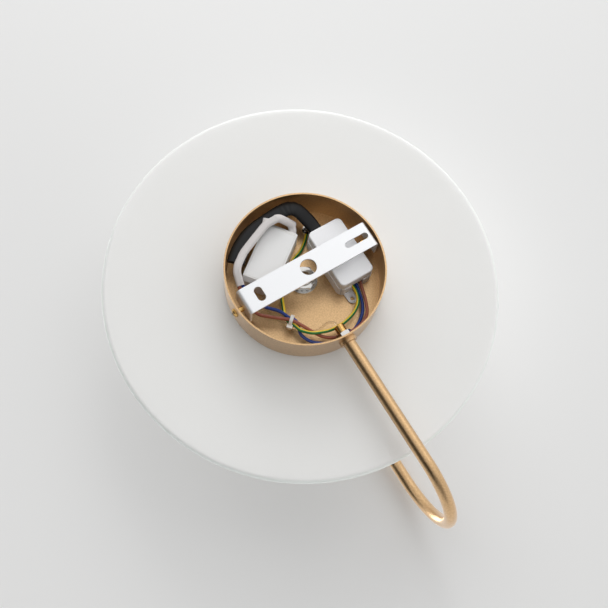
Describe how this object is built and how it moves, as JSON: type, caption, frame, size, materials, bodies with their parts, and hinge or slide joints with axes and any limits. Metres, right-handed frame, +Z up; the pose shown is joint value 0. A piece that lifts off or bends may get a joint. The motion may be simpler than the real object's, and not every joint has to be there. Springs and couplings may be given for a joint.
{
  "type": "wall sconce",
  "caption": "Disc wall sconce: frosted glass disc on a round brass canopy with a crossbar, and a bent brass arm that carries a lamp head in front of the glass.",
  "frame": {"origin": "centre of the crossbar's centre hole, in the wall plane", "axes": "+Y points into the wall, -Y into the room, +Z is up and the arm runs down from the canopy, +X runs along the crossbar towards its crosswise slot"},
  "size_m": [0.3, 0.109, 0.3583],
  "materials": {
    "satin_brass": "satin",
    "screw_brass": "polished",
    "zinc_plate": "bright zinc plate",
    "nickel": "nickel plate",
    "clear_gasket": "soft",
    "frosted_glass": "frosted",
    "white_nylon": "satin",
    "driver_white": "matte",
    "circuit_green": "solder mask",
    "bare_aluminium": "satin",
    "board_white": "solder mask",
    "led_yellow": "phosphor",
    "opal_acrylic": "opal",
    "brown_pvc": "satin",
    "blue_pvc": "satin",
    "green_yellow_pvc": "satin, green stripe",
    "white_braid": "braided glass fibre",
    "clear_pvc": "clear",
    "black_pvc": "satin",
    "clear_nylon": "satin"
  },
  "bodies": {
    "lamp": {"canopy_cup": "satin_brass", "mounting_crossbar": "zinc_plate", "centre_flat_washer": "nickel", "centre_star_washer": "nickel", "centre_nut": "nickel", "centre_nipple": "nickel", "rear_gasket": "clear_gasket", "glass_disc": "frosted_glass", "glass_bush": "white_nylon", "front_gasket": "clear_gasket", "front_cap": "satin_brass", "arm_tube": "satin_brass", "arm_washer": "nickel", "arm_nut": "nickel", "arm_stub": "screw_brass", "arm_collar": "satin_brass", "head_washer": "nickel", "head_nut": "nickel", "head_stub": "screw_brass", "head_collar": "satin_brass", "driver_case": "driver_white", "driver_cover": "driver_white", "driver_board": "circuit_green", "junction_box_base": "white_nylon", "junction_box_lid": "white_nylon", "terminal_block": "white_nylon", "terminal_screws": "nickel", "earth_eyelet": "nickel", "earth_screw": "nickel", "head_housing": "satin_brass", "heat_sink": "bare_aluminium", "led_board": "board_white", "led_chips": "led_yellow", "board_screws": "nickel", "head_diffuser": "opal_acrylic", "wire_brown": "brown_pvc", "wire_blue": "blue_pvc", "wire_earth": "green_yellow_pvc", "white_sleeve": "white_braid", "led_lead": "clear_pvc", "black_sleeve": "black_pvc", "cable_tie": "clear_nylon"},
    "screw_left": {"canopy_screw_left": "screw_brass"},
    "screw_right": {"canopy_screw_right": "screw_brass"}
  },
  "joints": [
    {"name": "left_screw_out", "type": "slide", "parent": "lamp", "child": "screw_left", "axis": [1, 0, 0], "range_m": [0, 0.0065]},
    {"name": "right_screw_out", "type": "slide", "parent": "lamp", "child": "screw_right", "axis": [-1, 0, 0], "range_m": [0, 0.0085]}
  ]
}
